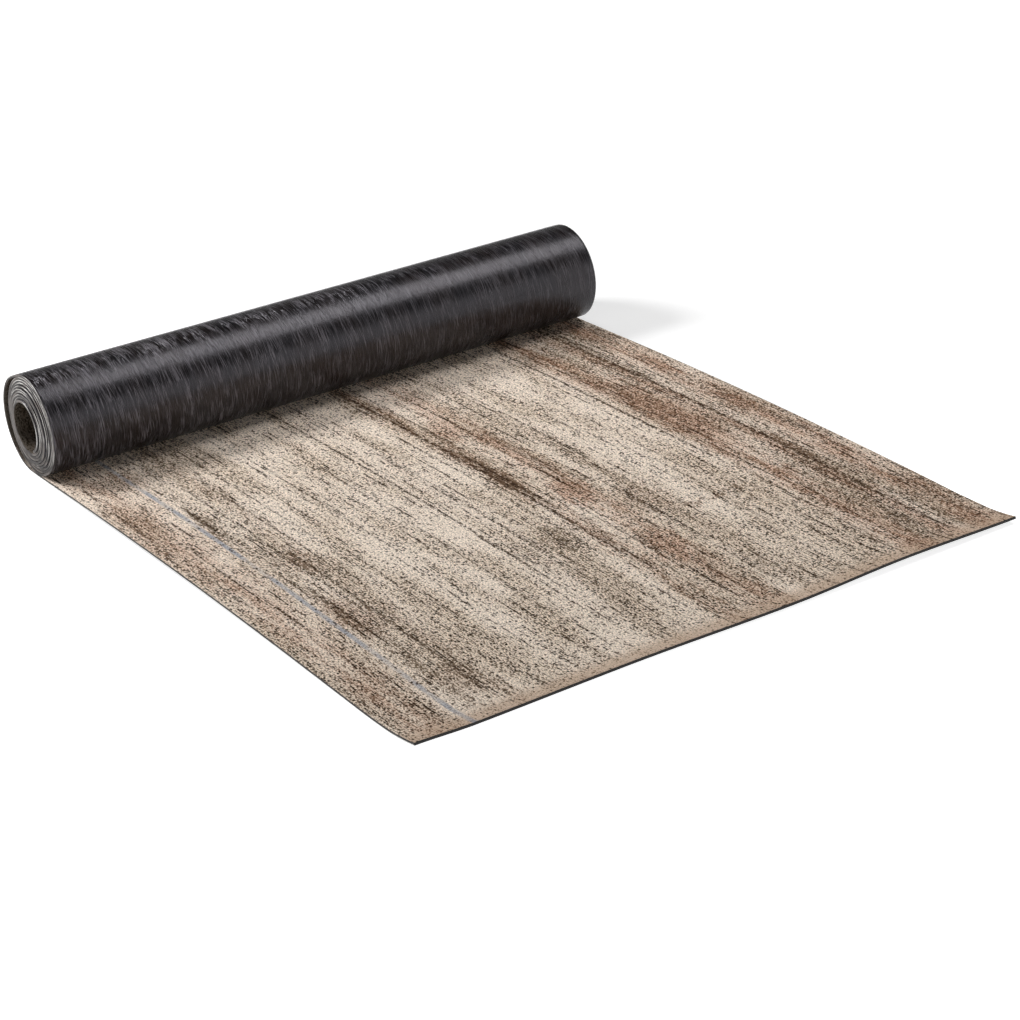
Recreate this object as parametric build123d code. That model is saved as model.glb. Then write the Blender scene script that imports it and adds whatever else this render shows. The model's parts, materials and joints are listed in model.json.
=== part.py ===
from build123d import *
from math import acos, asin, atan, atan2, cos, hypot, pi, sin
import os

# A roll of roofing felt, partly unrolled: one continuous sheet, in millimetres.
# X runs along the coil's axis, the unrolled tail points to -Y, and Z is up from the floor.
# The origin is on the floor, under the middle of the whole footprint.

# The sheet
SHEET_WIDTH = 1000.0
SHEET_THICKNESS = 4.0

# The coil
BORE_DIAMETER = 76.0
TURNS = 10
TURN_GAP = 0.2             # air between one turn and the next
TELESCOPE = 9.0            # how far the innermost turn has slid out at the left end
FLUSH_TURNS = 1.5          # outermost turns whose ends still lie in one plane
CREVICE_DEPTH = 4.0        # how deep the gap between the turns is open at each end
NIP_SINK = 0.4             # how far the coil's weight presses it into the tail

# The outermost turn, which has sprung loose at the back
LOOSE_GAP = 13.0           # air between it and the coil, at the back
LOOSE_TIGHTENING = 2.0     # how much smaller the radius of its bend is than the coil's

# The unrolled tail
TAIL_REACH = 1080.0        # from the coil's axis to the front edge
BOW_START = 5.0            # where it lifts off the floor, in front of the coil's axis
BOW_RISE = 7.5             # how high it stands off the floor halfway along
BOW_EASE = 50.0            # length of the gentle bend at each end of the bow
CURL_LENGTH = 80.0         # the stretch of the front end that turns up
CURL_RADIUS = 450.0        # underside radius of that stretch

# Worked out from the sizes above
pitch = SHEET_THICKNESS + TURN_GAP
bore_radius = BORE_DIAMETER / 2
coil_radius = bore_radius + TURNS * pitch
loose_radius = coil_radius - LOOSE_TIGHTENING
loose_centre = (SHEET_THICKNESS + LOOSE_GAP + LOOSE_TIGHTENING, loose_radius)
left_end = -SHEET_WIDTH / 2
right_end = SHEET_WIDTH / 2
DOWN, UP = -pi / 2, pi / 2


def polar(centre, radius, angle):
    """The point of the section at an angle, in radians from +Y towards +Z, on a circle."""
    return (centre[0] + radius * cos(angle), centre[1] + radius * sin(angle))


def axis_height_at(leave):
    """Height of the coil's axis, with its lowest turn sunk into the tail."""
    lowest = coil_radius - pitch / 2 * (1 - sin(leave))
    return SHEET_THICKNESS - NIP_SINK + lowest


def find_leave_angle():
    """Angle at which the loose turn leaves the coil, straight towards its own bend."""
    leave = pi / 2
    for _ in range(30):
        dy = loose_centre[0]
        dz = loose_centre[1] - axis_height_at(leave)
        leave = atan2(dz, dy) + acos((coil_radius - loose_radius) / hypot(dy, dz))
    return leave


# The coil's outline is a spiral of half turns, swung about two centres half a pitch apart
leave_angle = find_leave_angle()
axis = (0.0, axis_height_at(leave_angle))
other_centre = polar(axis, -pitch / 2, leave_angle)


def line(start, end):
    return Line((0, *start), (0, *end))


def arc(centre, radius, start, end):
    """An arc of the section from one angle to another, both in radians."""
    angles = (start, (start + end) / 2, end)
    return ThreePointArc(*[(0, *polar(centre, radius, angle)) for angle in angles])


def spiral_point(half, offset=0.0):
    """Where a half turn of the spiral starts; half turns are counted from the outside."""
    centre = other_centre if half % 2 else axis
    return polar(centre, coil_radius - half * pitch / 2 + offset, leave_angle + half * pi)


def spiral(first_half, last_half, offset=0.0):
    """Edges of the spiral between two half turns, shifted outwards by offset."""
    edges = []
    for half in range(first_half, last_half):
        centre = other_centre if half % 2 else axis
        radius = coil_radius - half * pitch / 2 + offset
        start = leave_angle + half * pi
        edges.append(arc(centre, radius, start, start + pi))
    return edges


def tail_curve(height):
    """The tail from the flat stretch to the front edge: a low bow, then the curl.

    The height is measured from the underside, square to the sheet.
    """
    bow_end = TAIL_REACH - CURL_LENGTH
    half_bow = (bow_end - BOW_START) / 2
    swing = 2 * atan(BOW_RISE / half_bow)
    ease_radius = BOW_EASE / sin(swing)
    crest_radius = (half_bow - BOW_EASE) / sin(swing)
    crest_centre = (-BOW_START - half_bow, BOW_RISE - crest_radius)
    curl_swing = asin(CURL_LENGTH / CURL_RADIUS)
    return [
        arc((-BOW_START, ease_radius), ease_radius - height, DOWN, DOWN - swing),
        arc(crest_centre, crest_radius + height, UP - swing, UP + swing),
        arc((-bow_end, ease_radius), ease_radius - height, DOWN + swing, DOWN),
        arc((-bow_end, CURL_RADIUS), CURL_RADIUS - height, DOWN, DOWN - curl_swing),
    ]


def loose_curve(height):
    """The loose turn, from the coil over the back down to the floor and under the coil."""
    coil_side = coil_radius - height
    bend = loose_radius - height
    return [
        line(polar(axis, coil_side, leave_angle), polar(loose_centre, bend, leave_angle)),
        arc(loose_centre, bend, leave_angle, DOWN),
        line((loose_centre[0], height), (-BOW_START, height)),
    ]


def sheet_section():
    """The loose turn and the tail: one band of even thickness."""
    under = loose_curve(0) + tail_curve(0)
    upper = loose_curve(SHEET_THICKNESS) + tail_curve(SHEET_THICKNESS)
    front = Line(under[-1] @ 1, upper[-1] @ 1)
    back = Line(under[0] @ 0, upper[0] @ 0)
    return make_face(under + upper + [front, back])


def coil_section():
    """The tight coil: one turn of the spiral, closed by the step of one pitch."""
    return make_face(spiral(0, 2) + [line(spiral_point(2), spiral_point(0))])


def crevice_section():
    """The gap between the turns, from the loose turn in to the last half turn."""
    last = 2 * TURNS - 1
    ends = [line(spiral_point(half), spiral_point(half, TURN_GAP)) for half in (2, last)]
    return make_face(spiral(2, last) + spiral(2, last, TURN_GAP) + ends)


def along_x(section, overhang=0.0):
    """The section drawn out over the sheet's width, and past both its ends."""
    start = Pos(left_end - overhang, 0, 0) * section
    return extrude(start, amount=SHEET_WIDTH + 2 * overhang, dir=(1, 0, 0))


def telescoped(inset=0.0):
    """A turned solid, wider than the coil, whose ends step out and in as the turns do."""
    inner = bore_radius + pitch
    outer = coil_radius - FLUSH_TURNS * pitch
    wide = 2 * coil_radius
    left, right = left_end + inset, right_end - inset
    corners = [(left - TELESCOPE, 0), (left - TELESCOPE, inner), (left, outer), (left, wide),
               (right, wide), (right, outer), (right - TELESCOPE, inner), (right - TELESCOPE, 0)]
    profile = make_face(Polyline(*[(x, axis[0], axis[1] + r) for x, r in corners], close=True))
    return revolve(profile, Axis((0, *axis), (1, 0, 0)))


def bore():
    length = SHEET_WIDTH + 4 * TELESCOPE
    return Plane(origin=(0, *axis), z_dir=(1, 0, 0)) * Cylinder(bore_radius, length)


def felt_sheet():
    """The whole sheet: the coil with its bore and open crevices, the loose turn, the tail."""
    overhang = TELESCOPE + CREVICE_DEPTH
    coil = along_x(coil_section(), overhang) & telescoped()
    crevices = along_x(crevice_section(), overhang) - telescoped(CREVICE_DEPTH)
    sheet = coil + along_x(sheet_section()) - bore() - crevices
    middle = sheet.bounding_box().center()
    return Pos(-middle.X, -middle.Y, 0) * sheet


os.makedirs("parts", exist_ok=True)
export_step(felt_sheet(), "parts/felt_sheet.step")
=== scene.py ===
"""A roll of roofing felt, partly unrolled: mottled brown face up, black back outside the coil."""
import json
from math import acos, asin, atan, atan2, cos, hypot, pi, radians, sin, tau

import bpy
import numpy as np
from mathutils import Matrix, Vector


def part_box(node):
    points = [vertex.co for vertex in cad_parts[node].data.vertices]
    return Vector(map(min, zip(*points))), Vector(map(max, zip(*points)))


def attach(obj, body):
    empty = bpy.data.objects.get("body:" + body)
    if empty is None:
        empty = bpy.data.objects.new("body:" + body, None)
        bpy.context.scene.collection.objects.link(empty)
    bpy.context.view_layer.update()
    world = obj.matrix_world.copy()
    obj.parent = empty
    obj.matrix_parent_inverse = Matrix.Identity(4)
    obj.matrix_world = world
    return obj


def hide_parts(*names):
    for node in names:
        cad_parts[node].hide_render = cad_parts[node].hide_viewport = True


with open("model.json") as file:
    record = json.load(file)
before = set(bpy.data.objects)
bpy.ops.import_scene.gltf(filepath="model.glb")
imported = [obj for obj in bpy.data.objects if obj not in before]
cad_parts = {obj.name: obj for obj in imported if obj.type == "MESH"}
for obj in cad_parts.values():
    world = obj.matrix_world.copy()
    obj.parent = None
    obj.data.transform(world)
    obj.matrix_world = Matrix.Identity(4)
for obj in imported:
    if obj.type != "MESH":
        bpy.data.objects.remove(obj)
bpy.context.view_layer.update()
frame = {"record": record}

# The sheet as it lies, in metres, in the CAD frame
THICKNESS = 0.004
TURNS = 10
TURN_GAP = 0.0002
TELESCOPE = 0.009          # how far the innermost turn has slid out at the left end
FLUSH_TURNS = 1.5          # outermost turns whose ends still lie in one plane
LOOSE_GAP = 0.013          # how far the loose turn stands off behind the coil
LOOSE_TIGHTENING = 0.002   # how much smaller the radius of its bend is than the coil's
BOW_START = 0.005          # where the tail leaves the floor, forward from the coil's axis
BOW_RISE = 0.0075          # height of the tail's low bow
BOW_EASE = 0.05            # length of the bend at each end of the bow
CURL_LENGTH = 0.08         # length of the curl at the front edge
CURL_RADIUS = 0.45
DOWN, UP = -pi / 2, pi / 2

# Distance between the rows of the mesh, metres
CURL_STEP = 0.006
BOW_STEP = 0.01
FLAT_STEP = 0.008
LOOSE_STEP = 0.004
OUTER_TURN_STEP = 0.0035
INNER_TURN_ROWS = 50       # rows in each inner turn

mounts = {mount["name"]: mount for mount in frame["record"]["mounts"]}
bore_radius = mounts["bore"]["dims"]["r_mm"] / 1000
axis = tuple(mounts["bore"]["pos_m"][1:])
box_low, box_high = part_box("felt_sheet")
left, right = box_low.x + TELESCOPE, box_high.x
front = box_low.y
pitch = THICKNESS + TURN_GAP
coil_radius = bore_radius + TURNS * pitch
loose_radius = coil_radius - LOOSE_TIGHTENING
loose_centre = (axis[0] + THICKNESS + LOOSE_GAP + LOOSE_TIGHTENING, loose_radius)


def polar(centre, radius, angle):
    return (centre[0] + radius * cos(angle), centre[1] + radius * sin(angle))


def leave_angle():
    """Angle at which the loose turn leaves the coil, straight towards its own bend."""
    dy, dz = loose_centre[0] - axis[0], loose_centre[1] - axis[1]
    return atan2(dz, dy) + acos((coil_radius - loose_radius) / hypot(dy, dz))


leave = leave_angle()
other_centre = polar(axis, -pitch / 2, leave)   # every second half turn bends around this point


def sample_arc(centre, radius, start, end, step, outwards):
    """Points along an arc and the direction from the black back to the brown face.

    outwards is 1 where the face looks away from the arc's centre, and -1 where it looks at it.
    """
    count = max(2, round(abs(end - start) * radius / step))
    return [(*polar(centre, radius, angle), outwards * cos(angle), outwards * sin(angle))
            for angle in np.linspace(start, end, count + 1)[:-1]]


def sample_line(start, end, normal, step):
    count = max(1, round(hypot(end[0] - start[0], end[1] - start[1]) / step))
    return [(start[0] + (end[0] - start[0]) * t, start[1] + (end[1] - start[1]) * t, *normal)
            for t in np.arange(count) / count]


def sheet_path():
    """The black back's line from the front edge to the inner end of the coil.

    Gives an array of y, z and the face's direction, the number of rows in the tail and the
    outermost turn together, and the number in the tail alone.
    """
    bow_end = front + CURL_LENGTH
    bow_start = axis[0] - BOW_START
    half_bow = (bow_start - bow_end) / 2
    swing = 2 * atan(BOW_RISE / half_bow)
    ease = BOW_EASE / sin(swing)
    crest = (half_bow - BOW_EASE) / sin(swing)
    crest_centre = (bow_end + half_bow, BOW_RISE - crest)
    curl = asin(CURL_LENGTH / CURL_RADIUS)
    rows = sample_arc((bow_end, CURL_RADIUS), CURL_RADIUS, DOWN - curl, DOWN, CURL_STEP, -1)
    rows += sample_arc((bow_end, ease), ease, DOWN, DOWN + swing, BOW_STEP, -1)
    rows += sample_arc(crest_centre, crest, UP + swing, UP - swing, BOW_STEP, 1)
    rows += sample_arc((bow_start, ease), ease, DOWN - swing, DOWN, BOW_STEP, -1)
    rows += sample_line((bow_start, 0), (loose_centre[0], 0), (0, 1), FLAT_STEP)
    tail_rows = len(rows)
    rows += sample_arc(loose_centre, loose_radius, DOWN, leave, LOOSE_STEP, -1)
    rows += sample_line(polar(loose_centre, loose_radius, leave), polar(axis, coil_radius, leave),
                        (-cos(leave), -sin(leave)), LOOSE_STEP)
    for half in range(2 * TURNS - 1):
        centre = other_centre if half % 2 else axis
        radius = coil_radius - half * pitch / 2
        start = leave + half * pi
        step = OUTER_TURN_STEP if half < 2 else radius * tau / INNER_TURN_ROWS
        rows += sample_arc(centre, radius, start, start + pi, step, -1)
        if half == 1:
            outer_rows = len(rows)
    return np.array(rows), outer_rows, tail_rows


EDGE_COLUMNS = np.array([0, 0.004, 0.012])   # columns of the mesh next to a cut edge, metres
MIDDLE_MARGIN = 0.03                         # where the even columns between them start
MIDDLE_COLUMNS = 36


def column_places():
    """Places across the sheet's width: close together at both cut edges."""
    width = right - left
    middle = np.linspace(MIDDLE_MARGIN, width - MIDDLE_MARGIN, MIDDLE_COLUMNS)
    return np.concatenate([EDGE_COLUMNS, middle, width - EDGE_COLUMNS[::-1]])


# How the front edge waves up and down across the width: (from the left edge, height), metres
FRONT_WAVE = [(0.0, 0.0025), (0.09, -0.0008), (0.33, 0.0005), (0.60, -0.0033), (0.80, 0.0018),
              (1.0, -0.0013)]
WAVE_REACH = 0.26          # how far back from the front edge the wave fades out
# Sideways wander of the turns: size in metres, radians for each metre of sheet, radians at its start
TURN_WANDER = [(0.0009, 3.1, 0), (0.0006, 9.7, 1)]
WANDER_EASE = 0.3          # length of sheet over which the wander sets in
# Layers of the mesh from the back at 0 to the face at 1, and how far each cut edge is worn in
LAYERS = [(0.0, 0.0005), (0.12, 0.0001), (0.5, 0.0), (0.88, 0.0001), (1.0, 0.0005)]
FACE, BACK, EDGE = 0, 1, 2   # material numbers

rows, outer_rows, tail_rows = sheet_path()
columns = column_places()
n_rows, n_columns, n_layers = len(rows), len(columns), len(LAYERS)
last_row, last_column = n_rows - 1, n_columns - 1


def smooth_through(knots, x):
    """A curve through the knots that is level at each of them."""
    xs, ys = np.array(knots).T
    i = np.clip(np.searchsorted(xs, x) - 1, 0, len(xs) - 2)
    t = np.clip((x - xs[i]) / (xs[i + 1] - xs[i]), 0, 1)
    return ys[i] + (ys[i + 1] - ys[i]) * t * t * (3 - 2 * t)


def build_points():
    """The mesh's points, and for each its place across and along the sheet and in its thickness."""
    y, z, ny, nz = rows.T
    along = np.concatenate([[0], np.cumsum(np.hypot(np.diff(y), np.diff(z)))])
    radius = np.hypot(y - axis[0], z - axis[1])
    outer = coil_radius - FLUSH_TURNS * pitch
    inner = bore_radius + pitch
    slide = TELESCOPE * np.clip((outer - radius) / (outer - inner), 0, 1)
    slide[:outer_rows] = 0
    wander = sum(size * np.sin(along * rate + start) for size, rate, start in TURN_WANDER)
    shift = wander * np.clip((along - along[outer_rows]) / WANDER_EASE, 0, 1) - slide
    fade = np.clip(1 - (y - front) / WAVE_REACH, 0, 1) ** 2
    wave = smooth_through(FRONT_WAVE, columns)
    points, places = [], []
    for level, inset in LAYERS:
        for i in range(n_rows):
            front_inset = inset if i == 0 else 0
            for j in range(n_columns):
                side_inset = inset if j == 0 else -inset if j == last_column else 0
                lift = max(fade[i] * wave[j], -z[i])
                points.append((left + columns[j] + side_inset + shift[i],
                               y[i] + ny[i] * THICKNESS * level + front_inset,
                               z[i] + nz[i] * THICKNESS * level + lift))
                places.append((columns[j], along[i], level))
    return points, places


def build_faces():
    """Quads of the back, the face and the four cut edges, with a material number each."""
    def point(layer, i, j):
        return (layer * n_rows + i) * n_columns + j

    faces, kinds = [], []
    top = n_layers - 1
    for i in range(last_row):
        for j in range(last_column):
            for layer, kind in ((0, BACK), (top, FACE)):
                a, b = point(layer, i, j), point(layer, i + 1, j)
                c, d = point(layer, i + 1, j + 1), point(layer, i, j + 1)
                faces.append((a, b, c, d) if kind == BACK else (a, d, c, b))
                kinds.append(kind)
    for layer in range(top):
        for i in range(last_row):
            for j in (0, last_column):
                a, b = point(layer, i, j), point(layer, i + 1, j)
                c, d = point(layer + 1, i + 1, j), point(layer + 1, i, j)
                faces.append((a, b, c, d) if j else (a, d, c, b))
                kinds.append(EDGE)
        for j in range(last_column):
            for i in (0, last_row):
                a, b = point(layer, i, j), point(layer, i, j + 1)
                c, d = point(layer + 1, i, j + 1), point(layer + 1, i, j)
                faces.append((a, d, c, b) if i else (a, b, c, d))
                kinds.append(EDGE)
    return faces, kinds


# Parts of the texture map, as left, bottom, width and height: those in plain view get the most
MAP_FACE_TAIL = (0.004, 0.004, 0.735, 0.735)
MAP_BACK_OUTSIDE = (0.748, 0.004, 0.248, 0.735)
MAP_FACE_ROLLED = (0.004, 0.748, 0.30, 0.248)
MAP_BACK_ROLLED = (0.312, 0.748, 0.25, 0.248)
MAP_BACK_TAIL = (0.570, 0.748, 0.18, 0.248)
MAP_EDGES = (0.758, 0.748, 0.238, 0.248)
STRIP_ROWS = 50            # rows of the mesh in each strip of a cut edge
STRIP_MARGIN = 0.1         # empty share of a strip's height below and above the edge


def map_sheet(mesh, faces, kinds):
    """A texture map in which no two faces overlap."""
    corners = np.array(faces)
    layer, row = corners // (n_rows * n_columns), corners // n_columns % n_rows
    column = corners % n_columns
    across = columns[column] / (right - left)
    first, kind = row.min(axis=1), np.array(kinds)
    in_tail, outside = first < tail_rows, (first >= tail_rows) & (first < outer_rows)
    uv = np.zeros((*corners.shape, 2))

    def lay(chosen, area, u, v):
        uv[chosen, :, 0] = area[0] + area[2] * u[chosen]
        uv[chosen, :, 1] = area[1] + area[3] * v[chosen]

    def along(start, end):
        return (row - start) / (end - start)

    lay((kind == FACE) & in_tail, MAP_FACE_TAIL, across, along(0, tail_rows))
    lay((kind == FACE) & ~in_tail, MAP_FACE_ROLLED, across, along(tail_rows, last_row))
    lay((kind == BACK) & in_tail, MAP_BACK_TAIL, across, along(0, tail_rows))
    lay((kind == BACK) & outside, MAP_BACK_OUTSIDE, across.max() - across,
        along(tail_rows, outer_rows))
    lay((kind == BACK) & (first >= outer_rows), MAP_BACK_ROLLED, across,
        along(outer_rows, last_row))

    # The two long cut edges in strips, one above the other, and then the two short ones
    side_strips = last_row // STRIP_ROWS + 1
    strips = 2 * side_strips + 2
    depth = STRIP_MARGIN + (1 - 2 * STRIP_MARGIN) * layer / (n_layers - 1)
    at_side = (kind == EDGE) & (column.max(axis=1) == column.min(axis=1))
    strip = first // STRIP_ROWS + (column[:, 0] > 0) * side_strips
    within_strip = (row - (first // STRIP_ROWS * STRIP_ROWS)[:, None]) / STRIP_ROWS
    lay(at_side, MAP_EDGES, within_strip, (strip[:, None] + depth) / strips)
    strip = 2 * side_strips + (first > 0)
    lay((kind == EDGE) & ~at_side, MAP_EDGES, across, (strip[:, None] + depth) / strips)
    texture_map = mesh.uv_layers.new(name="OFBake")
    texture_map.data.foreach_set("uv", uv.astype(np.float32).ravel())


def make_sheet_object(materials):
    points, places = build_points()
    faces, kinds = build_faces()
    mesh = bpy.data.meshes.new("felt_sheet_full")
    mesh.from_pydata(points, [], faces)
    for material in materials:
        mesh.materials.append(material)
    mesh.polygons.foreach_set("material_index", kinds)
    mesh.polygons.foreach_set("use_smooth", [kind != EDGE for kind in kinds])
    place = mesh.attributes.new("sheet_place", "FLOAT_VECTOR", "POINT")
    place.data.foreach_set("vector", np.array(places, np.float32).ravel())
    map_sheet(mesh, faces, kinds)
    mesh.update()
    sheet = bpy.data.objects.new("felt_sheet_full", mesh)
    bpy.context.scene.collection.objects.link(sheet)
    return sheet


def srgb(r, g, b):
    """Linear colour from the 0 to 255 values that a picture shows."""
    def linear(v):
        v = v / 255
        return v / 12.92 if v <= 0.04045 else ((v + 0.055) / 1.055) ** 2.4
    return (linear(r), linear(g), linear(b), 1.0)


class Graph:
    """A node tree, and short calls that make and wire its nodes. A value is a socket or a number."""

    def __init__(self, owner, shader):
        owner.use_nodes = True
        self.owner = owner
        self.tree = owner.node_tree
        self.shader = self.tree.nodes[shader]

    def wire(self, socket, value):
        if isinstance(value, bpy.types.NodeSocket):
            self.tree.links.new(value, socket)
        else:
            socket.default_value = value

    def shade(self, values):
        """Sets or wires the shader's own sockets."""
        for name, value in values.items():
            self.wire(self.shader.inputs[name], value)

    def node(self, kind, inputs, **settings):
        node = self.tree.nodes.new(kind)
        for name, value in settings.items():
            setattr(node, name, value)
        for name, value in inputs.items():
            self.wire(node.inputs[name], value)
        return node

    def math(self, operation, *values):
        return self.node("ShaderNodeMath", dict(enumerate(values)), operation=operation).outputs[0]

    def vector_math(self, operation, inputs, output=0):
        return self.node("ShaderNodeVectorMath", inputs, operation=operation).outputs[output]

    def less(self, where, share):
        """1, and less by the share where the mark is full."""
        return self.math("MULTIPLY_ADD", where, -share, 1.0)

    def centred(self, value):
        """A value from 0 to 1, moved so that it lies around 0."""
        return self.math("SUBTRACT", value, 0.5)

    def smooth(self, value, low, high, to_low=0.0, to_high=1.0):
        """Goes smoothly from to_low at low to to_high at high."""
        sockets = {"Value": value, "From Min": low, "From Max": high,
                   "To Min": to_low, "To Max": to_high}
        return self.node("ShaderNodeMapRange", sockets, interpolation_type="SMOOTHSTEP").outputs[0]

    def mix(self, factor, first, second, blend="MIX"):
        sockets = {0: factor, 6: first, 7: second}
        return self.node("ShaderNodeMix", sockets, data_type="RGBA", blend_type=blend).outputs[2]

    def cover(self, under, over, where, share):
        """A colour, covered by another one up to the share where the mark is full."""
        return self.mix(self.math("MULTIPLY", where, share), under, over)

    def vector(self, x, y, z=0.0):
        return self.node("ShaderNodeCombineXYZ", {0: x, 1: y, 2: z}).outputs[0]

    def split(self, vector):
        return self.node("ShaderNodeSeparateXYZ", {0: vector}).outputs

    def stretched(self, length, width, seed, detail=2.0, across=None):
        """Noise whose blotches are about length along the sheet by width across it, millimetres."""
        across = self.across if across is None else across
        place = self.vector(self.math("DIVIDE", across, width),
                            self.math("DIVIDE", self.forward, length), seed)
        sockets = {"Vector": place, "Scale": 1.0, "Detail": detail}
        return self.node("ShaderNodeTexNoise", sockets).outputs[0]

    def pattern(self, length, width, seed, low, high, to_low=0.0, to_high=1.0, detail=2.0,
                across=None):
        """Stretched noise that goes from to_low where it is low to to_high where it is high."""
        noise = self.stretched(length, width, seed, detail, across)
        return self.smooth(noise, low, high, to_low, to_high)

    def chance(self, dimensions, inputs):
        """A number from 0 to 1 that jumps with its input and is the same each run."""
        node = self.node("ShaderNodeTexWhiteNoise", inputs, noise_dimensions=dimensions)
        return node.outputs["Value"]

    def ramp(self, value, stops):
        """A colour that changes evenly between stops of (position, colour)."""
        node = self.node("ShaderNodeValToRGB", {0: value})
        elements = node.color_ramp.elements
        for element, (position, colour) in zip(elements, (stops[0], stops[-1])):
            element.position, element.color = position, colour
        for position, colour in stops[1:-1]:
            elements.new(position).color = colour
        return node.outputs[0]

    def bump(self, height, distance, strength):
        sockets = {"Height": height, "Distance": distance, "Strength": strength}
        self.shade({"Normal": self.node("ShaderNodeBump", sockets).outputs[0]})

    def read_place(self):
        """Millimetres across from the left edge and forward from the coil's axis, and the depth
        in the sheet, 0 at the black back and 1 at the brown face."""
        place = self.node("ShaderNodeAttribute", {}, attribute_name="sheet_place")
        across, along, self.depth = self.split(place.outputs["Vector"])
        self.across = self.math("MULTIPLY", across, 1000.0)
        self.forward = self.math("MULTIPLY_ADD", along, -1000.0, 1000 * (axis[0] - front))


def new_material(name, values):
    """A material's node tree, with these values on the shader's own sockets."""
    graph = Graph(bpy.data.materials.new(name), "Principled BSDF")
    graph.shade(values)
    return graph


# Marks on the brown face, in millimetres across from the left edge and forward from the coil's axis
SHEET_WIDTH = 1000.0
SHEET_FORWARD = 1080.0     # the front edge
# Thin dark lines along the sheet: place across, half width, start, end, strength
DARK_LINES = [
    (18, 1.6, 180, 420, 0.5), (47, 1.5, 320, 700, 0.45), (106, 3.0, 280, 420, 0.9),
    (117, 2.6, 640, 800, 0.8), (141, 2.0, 210, 760, 0.6), (152, 2.4, 500, 1000, 0.6),
    (175, 1.6, 190, 620, 0.6), (204, 1.5, 60, 640, 0.6), (217, 1.4, 520, 860, 0.5),
    (271, 1.5, 120, 620, 0.55), (335, 1.5, 200, 900, 0.5), (388, 1.8, 20, 860, 0.8),
    (431, 1.5, 300, 860, 0.5), (487, 1.5, 330, 800, 0.45), (513, 2.4, 60, 820, 1.0),
    (524, 3.4, 380, 620, 0.9), (535, 2.0, 20, 330, 0.6), (552, 1.6, 600, 900, 0.5),
    (592, 1.5, 380, 620, 0.5), (629, 1.5, 620, 980, 0.5), (662, 1.5, 150, 480, 0.5),
    (733, 1.4, 560, 860, 0.45), (806, 2.2, 60, 640, 0.8), (814, 1.8, 700, 1010, 0.5),
    (852, 1.8, 260, 640, 0.5), (914, 3.2, 10, 1040, 0.85), (926, 2.2, 30, 260, 0.7),
    (955, 1.8, 180, 520, 0.6), (975, 1.6, 560, 980, 0.5),
]
LINE_FOOT = 1.8            # a line fades out this many half widths from its middle
LINE_START_FADE = 0.023    # how softly a line starts and ends, as a share of SHEET_FORWARD
LINE_END_FADE = 0.037
LINE_WANDER = 7.0          # how far the lines and bands stray sideways
ZONE = 200.0               # the dark lines are drawn one zone of the width at a time
# Fainter broken lines: one in each stripe of the width, and not near the stripe's borders
STRIPE_WIDTH = 19.0
FAINT_FIRST, FAINT_RANGE = 0.2, 0.6      # where in its stripe a line can lie
FAINT_FOOT, FAINT_CORE = 2.6, 0.8        # its half width at the foot and in the core
FAINT_STRENGTH = 0.85
# Soft bands along the whole sheet: centre across, half width, strength, how reddish
BANDS = [
    (35, 62, 0.50, 1.0), (117, 22, 0.75, 0.0), (168, 27, 0.42, 0.2), (425, 50, 0.26, 0.1),
    (520, 26, 0.85, 0.45), (583, 36, 0.66, 0.9), (652, 32, 0.34, 0.2), (842, 37, 1.00, 0.7),
    (904, 24, 0.80, 0.7), (966, 33, 1.00, 0.8),
]
BAND_FOOT = 0.08           # share of a band's strength that is left at its half width
BAND_RAGGED = 45.0         # how far the bands' borders stray
# Stains, and one painted shadow: centre across, centre forward, half width, half length, strength, how
# reddish
STAINS_AND_SHADOW = [
    # The second of these, at the left edge just in front of the coil, is painted shadow of the coil's
    # left end
    (30, 340, 34, 200, 0.35, 1.0), (60, 120, 60, 50, 0.6, 0.4), (106, 350, 12, 70, 0.8, 0.0),
    (150, 545, 20, 45, 0.55, 0.3), (118, 735, 32, 75, 0.75, 0.3), (145, 960, 32, 50, 0.5, 0.2),
    (405, 745, 22, 85, 0.5, 0.0), (470, 715, 50, 45, 0.5, 0.0), (520, 500, 16, 90, 0.95, 0.3),
    (522, 745, 16, 60, 0.9, 0.1), (560, 290, 22, 55, 0.5, 1.0), (575, 605, 30, 60, 0.65, 1.0),
    (640, 690, 44, 60, 0.45, 0.3), (575, 835, 32, 60, 0.60, 1.0), (855, 460, 40, 210, 0.75, 0.8),
    (855, 745, 26, 34, 0.7, 0.6), (920, 690, 18, 95, 0.8, 0.3), (850, 930, 30, 90, 0.4, 0.9),
    (720, 748, 100, 7, 0.75, 0.2),
]
STAIN_FOOT, STAIN_CORE = 1.35, 0.4         # where a stain begins and is full, in half sizes
STAIN_RAGGED = (60.0, -90.0)               # how far its border strays across and forward
FAR_STRIP, FAR_STAIN = (770.0, 890.0), 0.5   # the right side is stained throughout
PLAIN_FROM, PLAIN_FULL = 1031.0, 1066.0      # the smoother strip along the front edge
COIL_SHADE_FROM, COIL_SHADE_FULL = 0.0, -60.0        # beyond the coil's axis the face is wound into the coil, and painted shade darkens it there
LAP_LINE = 90.0            # the pale line that shows where the next sheet overlaps
LAP_SWAY = 12.0            # how far it strays sideways
LAP_FOOT, LAP_CORE, LAP_STRENGTH = 5.5, 2.0, 0.85   # its half width at the foot and in the core


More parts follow.
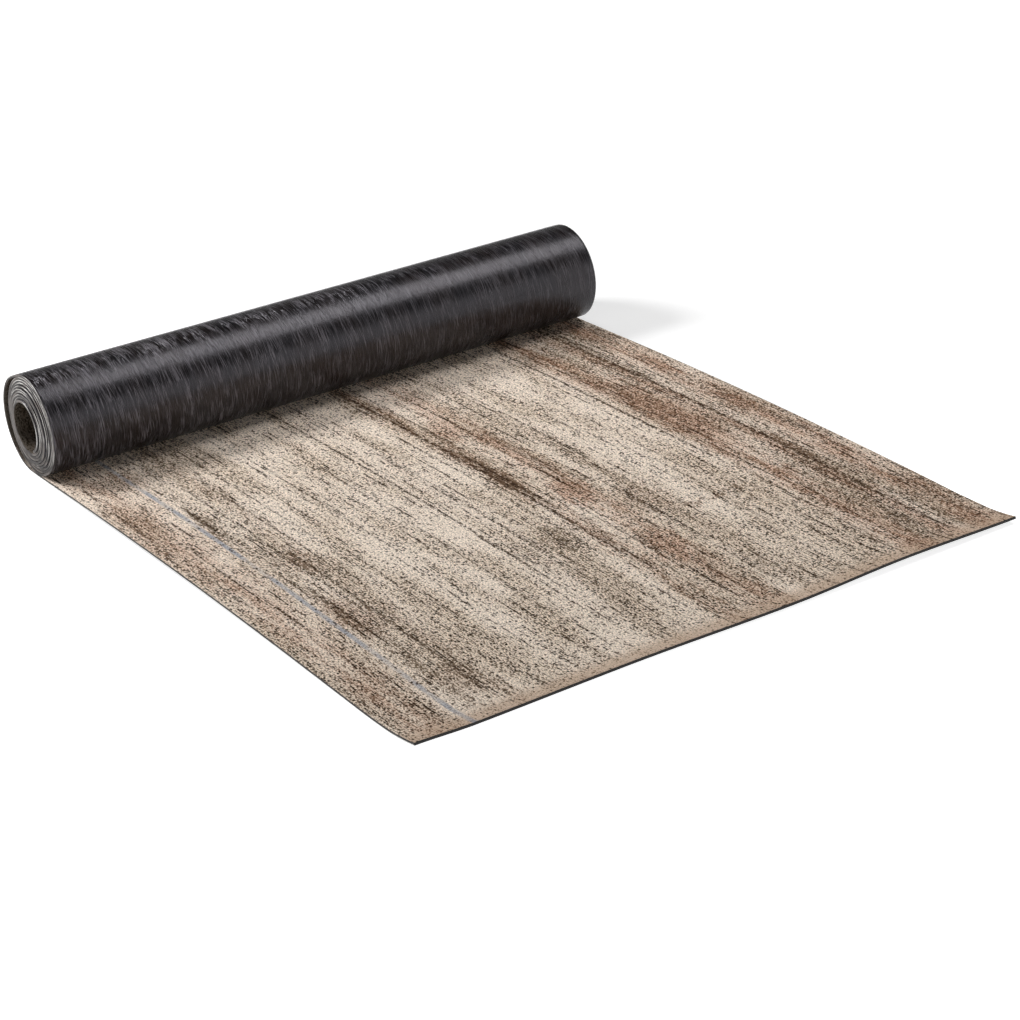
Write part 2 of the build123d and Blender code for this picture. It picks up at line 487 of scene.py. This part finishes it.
def drawn_lines(graph, shifted):
    """The dark lines, each between its own start and end."""
    reached = graph.math("DIVIDE", graph.forward, SHEET_FORWARD)
    nothing = (0, 0, 1, 1)
    streaks = 0.0
    for zone in range(round(SHEET_WIDTH / ZONE)):
        stops = [(0.0, nothing)]
        for centre, half_width, start, end, strength in DARK_LINES:
            if centre // ZONE == zone:
                for step in (-1, 0, 1):
                    position = (centre + step * LINE_FOOT * half_width) / ZONE - zone
                    stops.append((position, (0 if step else strength, start / SHEET_FORWARD,
                                             end / SHEET_FORWARD, 1)))
        stops.append((1.0, nothing))
        within_zone = graph.math("MULTIPLY_ADD", shifted, 1 / ZONE, -float(zone))
        line, start, end = graph.split(graph.ramp(within_zone, stops))
        begun = graph.math("SUBTRACT", reached, start)
        to_go = graph.math("SUBTRACT", end, reached)
        for distance, fade in ((begun, LINE_START_FADE), (to_go, LINE_END_FADE)):
            line = graph.math("MULTIPLY", line, graph.smooth(distance, -fade, fade))
        streaks = graph.math("MAXIMUM", streaks, line)
    return streaks


def faint_lines(graph, shifted):
    """Fainter lines, each at a place of its own in its stripe, and present in parts."""
    stripe = graph.math("DIVIDE", shifted, STRIPE_WIDTH)
    chosen = graph.chance("1D", {"W": graph.math("FLOOR", stripe)})
    middle = graph.math("MULTIPLY_ADD", chosen, FAINT_RANGE, FAINT_FIRST)
    off = graph.math("ABSOLUTE", graph.math("SUBTRACT", graph.math("FRACT", stripe), middle))
    faint = graph.smooth(off, FAINT_FOOT / STRIPE_WIDTH, FAINT_CORE / STRIPE_WIDTH)
    held = graph.pattern(length=90, width=12, seed=33.0, low=0.50, high=0.66,
                         to_high=FAINT_STRENGTH)
    return graph.math("MULTIPLY", faint, held)


def soft_bands(graph, shifted, ragged):
    """How stained and how reddish the bands make each place, as a vector."""
    stops = [(0.0, (0, 0, 0, 1)), (1.0, (0, 0, 0, 1))]
    for centre, half_width, strength, reddish in BANDS:
        for step, share in ((-1, BAND_FOOT), (0, 1.0), (1, BAND_FOOT)):
            stain_and_shade = share * strength
            stops.append(((centre + step * half_width) / SHEET_WIDTH, (stain_and_shade, stain_and_shade * reddish, 0, 1)))
    moved = graph.math("MULTIPLY_ADD", ragged, BAND_RAGGED, shifted)
    bands = graph.split(graph.ramp(graph.math("DIVIDE", moved, SHEET_WIDTH), sorted(stops)))
    uneven = graph.pattern(length=110, width=16, seed=21.0, low=0.34, high=0.62, to_low=0.35,
                           detail=3.0)
    return graph.vector(*(graph.math("MULTIPLY", band, uneven) for band in bands[:2]))


def face_marks(graph):
    """How streaky, how stained and how reddish the brown face is at each place; a painted shadow in
    front of the coil's left end is counted with the stains.
    """
    wander = graph.stretched(length=400, width=60, seed=3.1)
    shifted = graph.math("MULTIPLY_ADD", graph.centred(wander), LINE_WANDER, graph.across)
    broken = graph.pattern(length=9, width=4, seed=27.0, low=0.40, high=0.55, to_low=0.1)
    streaks = graph.math("MAXIMUM", drawn_lines(graph, shifted), faint_lines(graph, shifted))
    streaks = graph.math("MULTIPLY", streaks, broken)

    ragged = graph.centred(graph.stretched(length=26, width=8, seed=7.7, detail=4.0))
    marks = soft_bands(graph, shifted, ragged)
    warped = graph.vector(graph.math("MULTIPLY_ADD", ragged, STAIN_RAGGED[0], shifted),
                          graph.math("MULTIPLY_ADD", ragged, STAIN_RAGGED[1], graph.forward))
    for x, y, half_width, half_length, strength, reddish in STAINS_AND_SHADOW:
        sockets = {"Vector": warped, "Location": (x, y, 0), "Scale": (half_width, half_length, 1)}
        mapped = graph.node("ShaderNodeMapping", sockets, vector_type="TEXTURE").outputs[0]
        reach = graph.vector_math("LENGTH", {0: mapped}, "Value")
        patch = graph.smooth(reach, STAIN_FOOT, STAIN_CORE)
        full = (strength, strength * reddish, 0)
        patch = graph.vector_math("SCALE", {0: full, "Scale": patch})
        marks = graph.vector_math("MAXIMUM", {0: marks, 1: patch})
    # Stains, with the painted shadow in front of the coil's left end among them
    stain_and_shade, red, _ = graph.split(marks)
    far_stain = graph.smooth(graph.across, *FAR_STRIP, 0.0, FAR_STAIN)
    return streaks, graph.math("MAXIMUM", stain_and_shade, far_stain), red


def lap_line(graph):
    """The pale line that shows where the next sheet overlaps, faded in places."""
    sway = graph.stretched(length=900, width=260, seed=9.0)
    place = graph.math("MULTIPLY_ADD", sway, LAP_SWAY, LAP_LINE - LAP_SWAY / 2)
    off = graph.math("ABSOLUTE", graph.math("SUBTRACT", graph.across, place))
    faded = graph.pattern(length=60, width=30, seed=4.4, low=0.35, high=0.6, to_low=0.4)
    return graph.math("MULTIPLY", graph.smooth(off, LAP_FOOT, LAP_CORE, 0.0, LAP_STRENGTH), faded)


# Share of the face that is inked: everywhere, and added where clouds, stains or streaks are full
LEAST_INK, CLOUD_INK, STAIN_INK, STREAK_INK = 0.03, 0.18, 0.30, 0.60
MOST_INK = 0.64            # even a stain leaves some of the pale ground bare
# Finer patterns of ink: length, width, seed, detail, low, high, share that they ink
INK_PATTERNS = [
    (150, 7, 4.1, 3.0, 0.40, 0.66, 0.08),
    (2.6, 60, 23.0, 2.0, 0.35, 0.65, 0.07),
    (180, 2.4, 29.0, 2.0, 0.35, 0.65, 0.18),
]
DASH_SHARE = 0.40          # share of dashes in the weave, where the rest is specks
INK_SOFT = (-0.15, 0.05)   # how softly the ink ends
PLAIN_CALM = 0.35          # how much calmer the ink and the grain are in the plain strip
LAP_BARE = 0.7             # how much less ink there is on the pale line
# Pits in lengthwise rows, millimetres
ROW_PITCH, PIT_PITCH = 3.7, 5.2
ROW_SWAY = 6.0             # how far the rows stray sideways
ROW_SHIFT = 7.0            # each row is shifted along by up to this many pits
PIT_LENGTHENING = 0.45     # weight of the distance along the sheet, squared
PIT_FOOT, PIT_CORE = 3.6, 1.4            # squared distances at which a pit begins and is full
LEAST_BUSY, MOST_BUSY = 0.32, 0.9        # how many pits a row has in any case and at most besides
PLAIN_FEWER = 0.2          # how many fewer pits a row has in the plain strip
PIT_SOFT = (-0.02, 0.06)   # how softly a pit comes and goes with the ink


def face_pits(graph, level, cloudy, plain):
    """Small pits in rows: more of them in some rows, and where there is more ink."""
    row = graph.math("DIVIDE", graph.math("MULTIPLY_ADD", cloudy, ROW_SWAY, graph.across), ROW_PITCH)
    row_number = graph.math("FLOOR", row)
    jitter = graph.chance("1D", {"W": row_number})
    pit = graph.math("MULTIPLY_ADD", jitter, ROW_SHIFT,
                     graph.math("DIVIDE", graph.forward, PIT_PITCH))
    chance = graph.chance("2D", {"Vector": graph.vector(row_number, graph.math("FLOOR", pit))})
    from_row, from_pit = (
        graph.math("MULTIPLY", graph.centred(graph.math("FRACT", count)), spacing)
        for count, spacing in ((row, ROW_PITCH), (pit, PIT_PITCH)))
    beside = graph.math("MULTIPLY", from_row, from_row)
    ahead = graph.math("MULTIPLY", from_pit, from_pit)
    near = graph.math("MULTIPLY_ADD", ahead, PIT_LENGTHENING, beside)
    hole = graph.smooth(near, PIT_FOOT, PIT_CORE)
    busy = graph.math("MULTIPLY_ADD", graph.math("POWER", jitter, 3.0), MOST_BUSY, LEAST_BUSY)
    wanted = graph.math("MULTIPLY", level, graph.math("MULTIPLY_ADD", plain, -PLAIN_FEWER, busy))
    present = graph.smooth(graph.math("SUBTRACT", wanted, chance), *PIT_SOFT)
    return graph.math("MULTIPLY", hole, present)


# Colours of the brown face
GROUND_PALE, GROUND_DULL = srgb(242, 227, 211), srgb(230, 213, 194)
# The stained ground colour also paints the shadow in front of the coil's left end
GROUND_STAINED_AND_SHADED, GROUND_REDDISH = srgb(172, 150, 128), srgb(202, 152, 120)
GROUND_PLAIN, LAP_GREY = srgb(188, 162, 140), srgb(152, 156, 166)
INK_BROWN, INK_REDDISH = srgb(78, 58, 37), srgb(108, 68, 46)
# Below, the last colour is painted shade for the face wound inside the coil
STREAK_DARK, PIT_DARK, PAINTED_COIL_SHADE = srgb(40, 26, 14), srgb(34, 22, 12), srgb(44, 38, 29)


def make_face_material():
    """The brown face: beige ground, lengthwise rows of dark dashes and pits, stains, thin lines, a
    painted shadow in front of the coil's left end and painted shade where the face is wound into the
    coil.
    """
    graph = new_material("felt_face", {"Roughness": 0.95, "Specular IOR Level": 0.05})
    graph.read_place()
    streaks, stain_and_shade, red = face_marks(graph)
    lap = lap_line(graph)
    plain = graph.smooth(graph.forward, PLAIN_FROM, PLAIN_FULL)
    # Where the face is wound inside the coil, which gets painted shade
    coil_shade = graph.smooth(graph.forward, COIL_SHADE_FROM, COIL_SHADE_FULL)
    cloudy = graph.stretched(length=240, width=45, seed=1.3, detail=3.0)
    cloud = graph.smooth(cloudy, 0.36, 0.66)

    # How much ink there is at each place
    level = graph.math("MULTIPLY_ADD", cloud, CLOUD_INK, LEAST_INK)
    for length, width, seed, detail, low, high, share in INK_PATTERNS:
        finer = graph.pattern(length, width, seed, low, high, detail=detail)
        level = graph.math("MULTIPLY_ADD", finer, share, level)
    level = graph.math("MULTIPLY_ADD", stain_and_shade, STAIN_INK, level)
    level = graph.math("MINIMUM", level, MOST_INK)
    level = graph.math("MULTIPLY_ADD", streaks, STREAK_INK, level)
    level = graph.math("MULTIPLY", level, graph.less(plain, PLAIN_CALM))
    level = graph.math("MULTIPLY", level, graph.less(lap, LAP_BARE))

    # Specks and dashes of the weave take up the ink
    speck = graph.pattern(length=4.2, width=2.3, seed=12.0, low=0.30, high=0.70, detail=1.0)
    dash = graph.pattern(length=15, width=2.5, seed=15.0, low=0.30, high=0.70)
    weave = graph.math("MULTIPLY_ADD", dash, DASH_SHARE,
                       graph.math("MULTIPLY", speck, 1 - DASH_SHARE))
    inked = graph.smooth(graph.math("SUBTRACT", level, weave), *INK_SOFT)
    pits = face_pits(graph, level, cloudy, plain)

    ground = graph.mix(cloud, GROUND_PALE, GROUND_DULL)
    # Stained ground, which also paints the shadow in front of the coil's left end
    ground = graph.cover(ground, GROUND_STAINED_AND_SHADED, where=stain_and_shade, share=0.34)
    ground = graph.cover(ground, GROUND_REDDISH, where=red, share=0.70)
    ground = graph.cover(ground, GROUND_PLAIN, where=plain, share=0.7)
    ground = graph.mix(lap, ground, LAP_GREY)
    grain = graph.pattern(length=3.4, width=2.1, seed=18.0, low=0.30, high=0.70, to_low=0.60,
                          to_high=1.22, detail=1.0)
    grain = graph.math("MULTIPLY_ADD", graph.math("SUBTRACT", grain, 1.0),
                       graph.less(plain, PLAIN_CALM), 1.0)
    ground = graph.mix(1.0, ground, graph.vector(grain, grain, grain), "MULTIPLY")
    ink = graph.mix(red, INK_BROWN, INK_REDDISH)
    colour = graph.cover(ground, ink, where=inked, share=0.84)
    colour = graph.cover(colour, STREAK_DARK, where=streaks, share=0.85)
    colour = graph.cover(colour, PIT_DARK, where=pits, share=0.92)
    # Painted shade over the face wound inside the coil
    colour = graph.cover(colour, PAINTED_COIL_SHADE, where=coil_shade, share=0.88)
    graph.shade({"Base Color": colour})
    graph.bump(weave, distance=0.0006, strength=0.8)
    return graph.owner


# Layers of thin fibres in the black back: seed, slant, width in millimetres, strength
FIBRES = [(1.5, 0.10, 1.0, 1.0), (6.5, -0.07, 1.3, 0.8), (11.5, 0.16, 1.2, 0.8)]
FIBRE_LENGTH = 36
FIBRES_WEAK, FIBRES_STRONG = (900.0, 0.6), (60.0, 1.3)   # place across and strength there
FIBRE_SHARE = 0.18         # how much of the film's colour a fibre covers
FILM_SMOOTH, FILM_ROUGH = 0.20, 0.36                     # roughness of the film's fine lines
FIBRE_ROUGHENING = 0.1
LINE_RELIEF, FIBRE_RELIEF, GRAIN_RELIEF = 0.8, 3.0, 0.5  # share of each in the film's relief
FILM_COOL, FILM_WARM, FIBRE_PALE = srgb(14, 13, 15), srgb(20, 15, 14), srgb(200, 194, 204)


def make_back_material():
    """The black back: a satin film with fine pale fibres along the sheet."""
    graph = new_material("felt_back", {"IOR": 1.55, "Specular Tint": (0.96, 0.92, 1.0, 1.0)})
    graph.read_place()
    lines = graph.stretched(length=34, width=1.0, seed=0.5, detail=3.0)
    grain = graph.stretched(length=2.6, width=1.8, seed=40.0)
    warm = graph.pattern(length=60, width=45, seed=8.2, low=0.35, high=0.65)
    film = graph.mix(warm, FILM_COOL, FILM_WARM)
    fibres = 0.0
    for seed, slant, width, strength in FIBRES:
        leaning = graph.math("MULTIPLY_ADD", graph.forward, slant, graph.across)
        fibre = graph.pattern(FIBRE_LENGTH, width, seed, low=0.62, high=0.72, detail=0.0,
                              across=leaning)
        fibres = graph.math("MAXIMUM", fibres, graph.math("MULTIPLY", fibre, strength))
    broken = graph.pattern(length=30, width=9, seed=36.5, low=0.40, high=0.60, to_low=0.25)
    (weak_at, weak), (strong_at, strong) = FIBRES_WEAK, FIBRES_STRONG
    leftwards = graph.smooth(graph.across, weak_at, strong_at, weak, strong)
    fibres = graph.math("MULTIPLY", fibres, graph.math("MULTIPLY", broken, leftwards))
    rough = graph.smooth(lines, 0.3, 0.7, FILM_SMOOTH, FILM_ROUGH)
    graph.shade({"Base Color": graph.cover(film, FIBRE_PALE, where=fibres, share=FIBRE_SHARE),
                 "Roughness": graph.math("MULTIPLY_ADD", fibres, FIBRE_ROUGHENING, rough)})
    height = graph.math("MULTIPLY", fibres, FIBRE_RELIEF)
    height = graph.math("MULTIPLY_ADD", lines, LINE_RELIEF, height)
    height = graph.math("MULTIPLY_ADD", grain, GRAIN_RELIEF, height)
    graph.bump(height, distance=0.0003, strength=0.6)
    return graph.owner


# Colours through the thickness of a cut edge, from the back at 0 to the face at 1
CUT_LAYERS = [(0.0, srgb(96, 90, 86)), (0.06, srgb(246, 243, 239)), (0.36, srgb(232, 228, 223)),
              (0.42, srgb(30, 26, 24)), (0.90, srgb(26, 22, 20)), (0.93, srgb(60, 53, 47)),
              (0.96, srgb(56, 49, 43)), (1.0, srgb(50, 43, 37))]
CUT_WAVER = 0.3            # how far the layers waver, as a share of the thickness
DIRT_DARK, DIRT_PALE = srgb(52, 44, 41), srgb(122, 113, 108)
TURN_DARK, LOW_DARK, FRONT_DARK = srgb(44, 38, 35), srgb(40, 34, 32), srgb(30, 27, 26)
FRONT_CUT = (1077.0, 1079.0)   # the cut across the front edge begins here, millimetres forward
FLAT_FROM, FLAT_FULL = 0.0, 30.0   # the tail's cut edge, which keeps its plain layers, free of smear and darkening
# On the coil's ends, in metres from its axis: the cleaner upper front half, kept bright as a painted
# highlight, and the dark bottom
HIGHLIT_BORDER, HIGHLIT_CLEANING = 0.05, 0.22
LOW_FROM, LOW_FULL = -0.015, -0.055


def make_edge_material():
    """The cut edge: dark bitumen with a pale carrier line, bright where unsmeared, smeared elsewhere;
    the unsmeared upper front of the coil's ends is a painted highlight.
    """
    graph = new_material("felt_edge", {"Roughness": 0.5})
    graph.read_place()
    waver = graph.centred(graph.stretched(length=22, width=30, seed=2.2, detail=3.0))
    layers = graph.ramp(graph.math("MULTIPLY_ADD", waver, CUT_WAVER, graph.depth), CUT_LAYERS)

    _, y, z = graph.split(graph.node("ShaderNodeTexCoord", {}).outputs["Object"])
    behind, above = graph.math("SUBTRACT", y, axis[0]), graph.math("SUBTRACT", z, axis[1])
    # Painted highlight: the upper front half of the coil's ends stays unsmeared and bright, where the
    # turns' edges catch the light from above
    clean_and_highlit = graph.smooth(graph.math("SUBTRACT", above, behind), -HIGHLIT_BORDER, HIGHLIT_BORDER)
    patchy = graph.stretched(length=40, width=30, seed=6.1)
    dirt = graph.mix(graph.smooth(patchy, 0.4, 0.6), DIRT_DARK, DIRT_PALE)
    # Smeared dirt, held back on the painted highlight
    smeared = graph.math("MULTIPLY_ADD", clean_and_highlit, -HIGHLIT_CLEANING, patchy)
    smeared = graph.smooth(smeared, 0.22, 0.5, 0.0, 0.8)
    dark_turn = graph.pattern(length=60, width=1000, seed=9.9, low=0.42, high=0.60, to_low=0.85,
                              to_high=0.0)
    low = graph.math("MULTIPLY", graph.smooth(above, LOW_FROM, LOW_FULL),
                     graph.smooth(patchy, 0.60, 0.45, 0.1, 0.85))
    flat = graph.smooth(graph.forward, FLAT_FROM, FLAT_FULL)
    front_cut = graph.smooth(graph.forward, *FRONT_CUT)
    colour = layers
    for where, over in ((dark_turn, TURN_DARK), (smeared, dirt), (low, LOW_DARK), (flat, layers),
                        (front_cut, FRONT_DARK)):
        colour = graph.mix(where, colour, over)
    graph.shade({"Base Color": colour})
    graph.bump(graph.stretched(length=6, width=6, seed=3.3, detail=3.0), distance=0.0004,
               strength=0.7)
    return graph.owner


# The floor and the studio
FLOOR_SIZE = 60
FLOOR_DROP = 0.0004        # how far the floor is below the sheet, so that they don't coincide
FLOOR_WHITE = 0.8          # the floor's own colour
FLOOR_GLOW = 0.27          # added to the floor near the object, where the camera sees it
GLOW_NEAR, GLOW_FAR = 0.5, 1.4   # from the coil's right end, the floor turns fully white here
HORIZON_LIGHT = 0.95
BEHIND_LIGHT = 0.2         # how much of that is left behind the object
SKY_LIGHT = 0.04
HORIZON_TOP, SKY_FROM = 0.38, 0.52   # heights between which the horizon turns into the sky
IN_FRONT, BEHIND = -0.3, 0.4         # directions between which front turns into behind


def make_floor():
    """A white floor that keeps the shadow. It looks fully white away from the object."""
    bpy.ops.mesh.primitive_plane_add(size=FLOOR_SIZE, location=(0, 0, -FLOOR_DROP))
    floor = bpy.context.object
    floor.name = "floor"
    graph = new_material("floor_white", {
        "Base Color": (FLOOR_WHITE, FLOOR_WHITE, FLOOR_WHITE, 1), "Roughness": 0.9,
        "Specular IOR Level": 0.0, "Emission Color": (1, 1, 1, 1)})
    ray = graph.node("ShaderNodeLightPath", {}).outputs
    place = graph.node("ShaderNodeNewGeometry", {}).outputs["Position"]
    away = graph.vector_math("DISTANCE", {0: place, 1: (right, axis[0], 0)}, "Value")
    glow = graph.smooth(away, GLOW_NEAR, GLOW_FAR, FLOOR_GLOW, 1.0)
    glow = graph.math("MULTIPLY", ray["Is Camera Ray"], glow)
    mirrored = graph.math("MAXIMUM", ray["Is Glossy Ray"], ray["Is Transmission Ray"])
    glow = graph.math("MULTIPLY_ADD", mirrored, 1.0 - FLOOR_WHITE, glow)
    graph.shade({"Emission Strength": glow})
    floor.data.materials.append(graph.owner)


def make_world():
    """A studio that is white to the camera, pale at the horizon in front and dim above."""
    world = bpy.data.worlds.new("studio")
    bpy.context.scene.world = world
    graph = Graph(world, "Background")
    _, back, up = graph.split(graph.node("ShaderNodeTexCoord", {}).outputs["Generated"])
    light = graph.math("MULTIPLY", graph.smooth(up, HORIZON_TOP, SKY_FROM, HORIZON_LIGHT, SKY_LIGHT),
                       graph.smooth(back, IN_FRONT, BEHIND, 1.0, BEHIND_LIGHT))
    seen = graph.node("ShaderNodeLightPath", {}).outputs["Is Camera Ray"]
    graph.shade({"Color": (1, 1, 1, 1), "Strength": graph.math("MAXIMUM", light, seen)})


def add_softbox(name, location, aim, size, radiance):
    """A rectangular lamp whose surface is as bright as radiance times white paper in full light."""
    data = bpy.data.lights.new(name, "AREA")
    data.shape = "RECTANGLE"
    data.size, data.size_y = size
    data.energy = radiance * pi * size[0] * size[1]
    lamp = bpy.data.objects.new(name, data)
    lamp.location = location
    lamp.visible_camera = False
    lamp.rotation_euler = (Vector(aim) - Vector(location)).to_track_quat("-Z", "Y").to_euler()
    bpy.context.scene.collection.objects.link(lamp)


# The photograph's camera, with its image 1020 pixels wide
IMAGE_WIDTH = 1020
FOCAL_PIXELS = 2675.1
SENSOR_WIDTH = 36.0
CAMERA_AZIMUTH, CAMERA_ELEVATION, CAMERA_ROLL = radians(-32.768), radians(25.03), radians(-3.403)
CAMERA_TARGET = Vector((-0.0140, -0.0863, 0.0))
CAMERA_DISTANCE = 3.8821
CAMERA_REACH = 100


def make_camera():
    a, e, r = CAMERA_AZIMUTH, CAMERA_ELEVATION, CAMERA_ROLL
    back = Vector((sin(a) * cos(e), -cos(a) * cos(e), sin(e)))
    level_right = Vector((cos(a), sin(a), 0))
    level_up = back.cross(level_right)
    right_axis = cos(r) * level_right + sin(r) * level_up
    up_axis = -sin(r) * level_right + cos(r) * level_up
    data = bpy.data.cameras.new("camera")
    data.sensor_width = SENSOR_WIDTH
    data.lens = FOCAL_PIXELS / IMAGE_WIDTH * SENSOR_WIDTH
    data.clip_end = CAMERA_REACH
    camera = bpy.data.objects.new("camera", data)
    turn = Matrix((right_axis, up_axis, back)).transposed().to_4x4()
    camera.matrix_world = Matrix.Translation(CAMERA_TARGET + CAMERA_DISTANCE * back) @ turn
    bpy.context.scene.collection.objects.link(camera)
    bpy.context.scene.camera = camera


make_camera()
make_world()
make_floor()
# A wide soft lamp over the right side, and a smaller, stronger one behind on the left
add_softbox("overhead", location=(1.25, 0.2, 2.3), aim=(1.25, 0.2, 0), size=(2.1, 1.35), radiance=4.1)
add_softbox("key", location=(-1.6, 1.95, 2.15), aim=(0, 0.1, 0), size=(0.9, 0.9), radiance=28)

sheet = make_sheet_object([make_face_material(), make_back_material(), make_edge_material()])
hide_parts("felt_sheet")
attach(sheet, "root")

bpy.context.scene.view_settings.view_transform = "Standard"
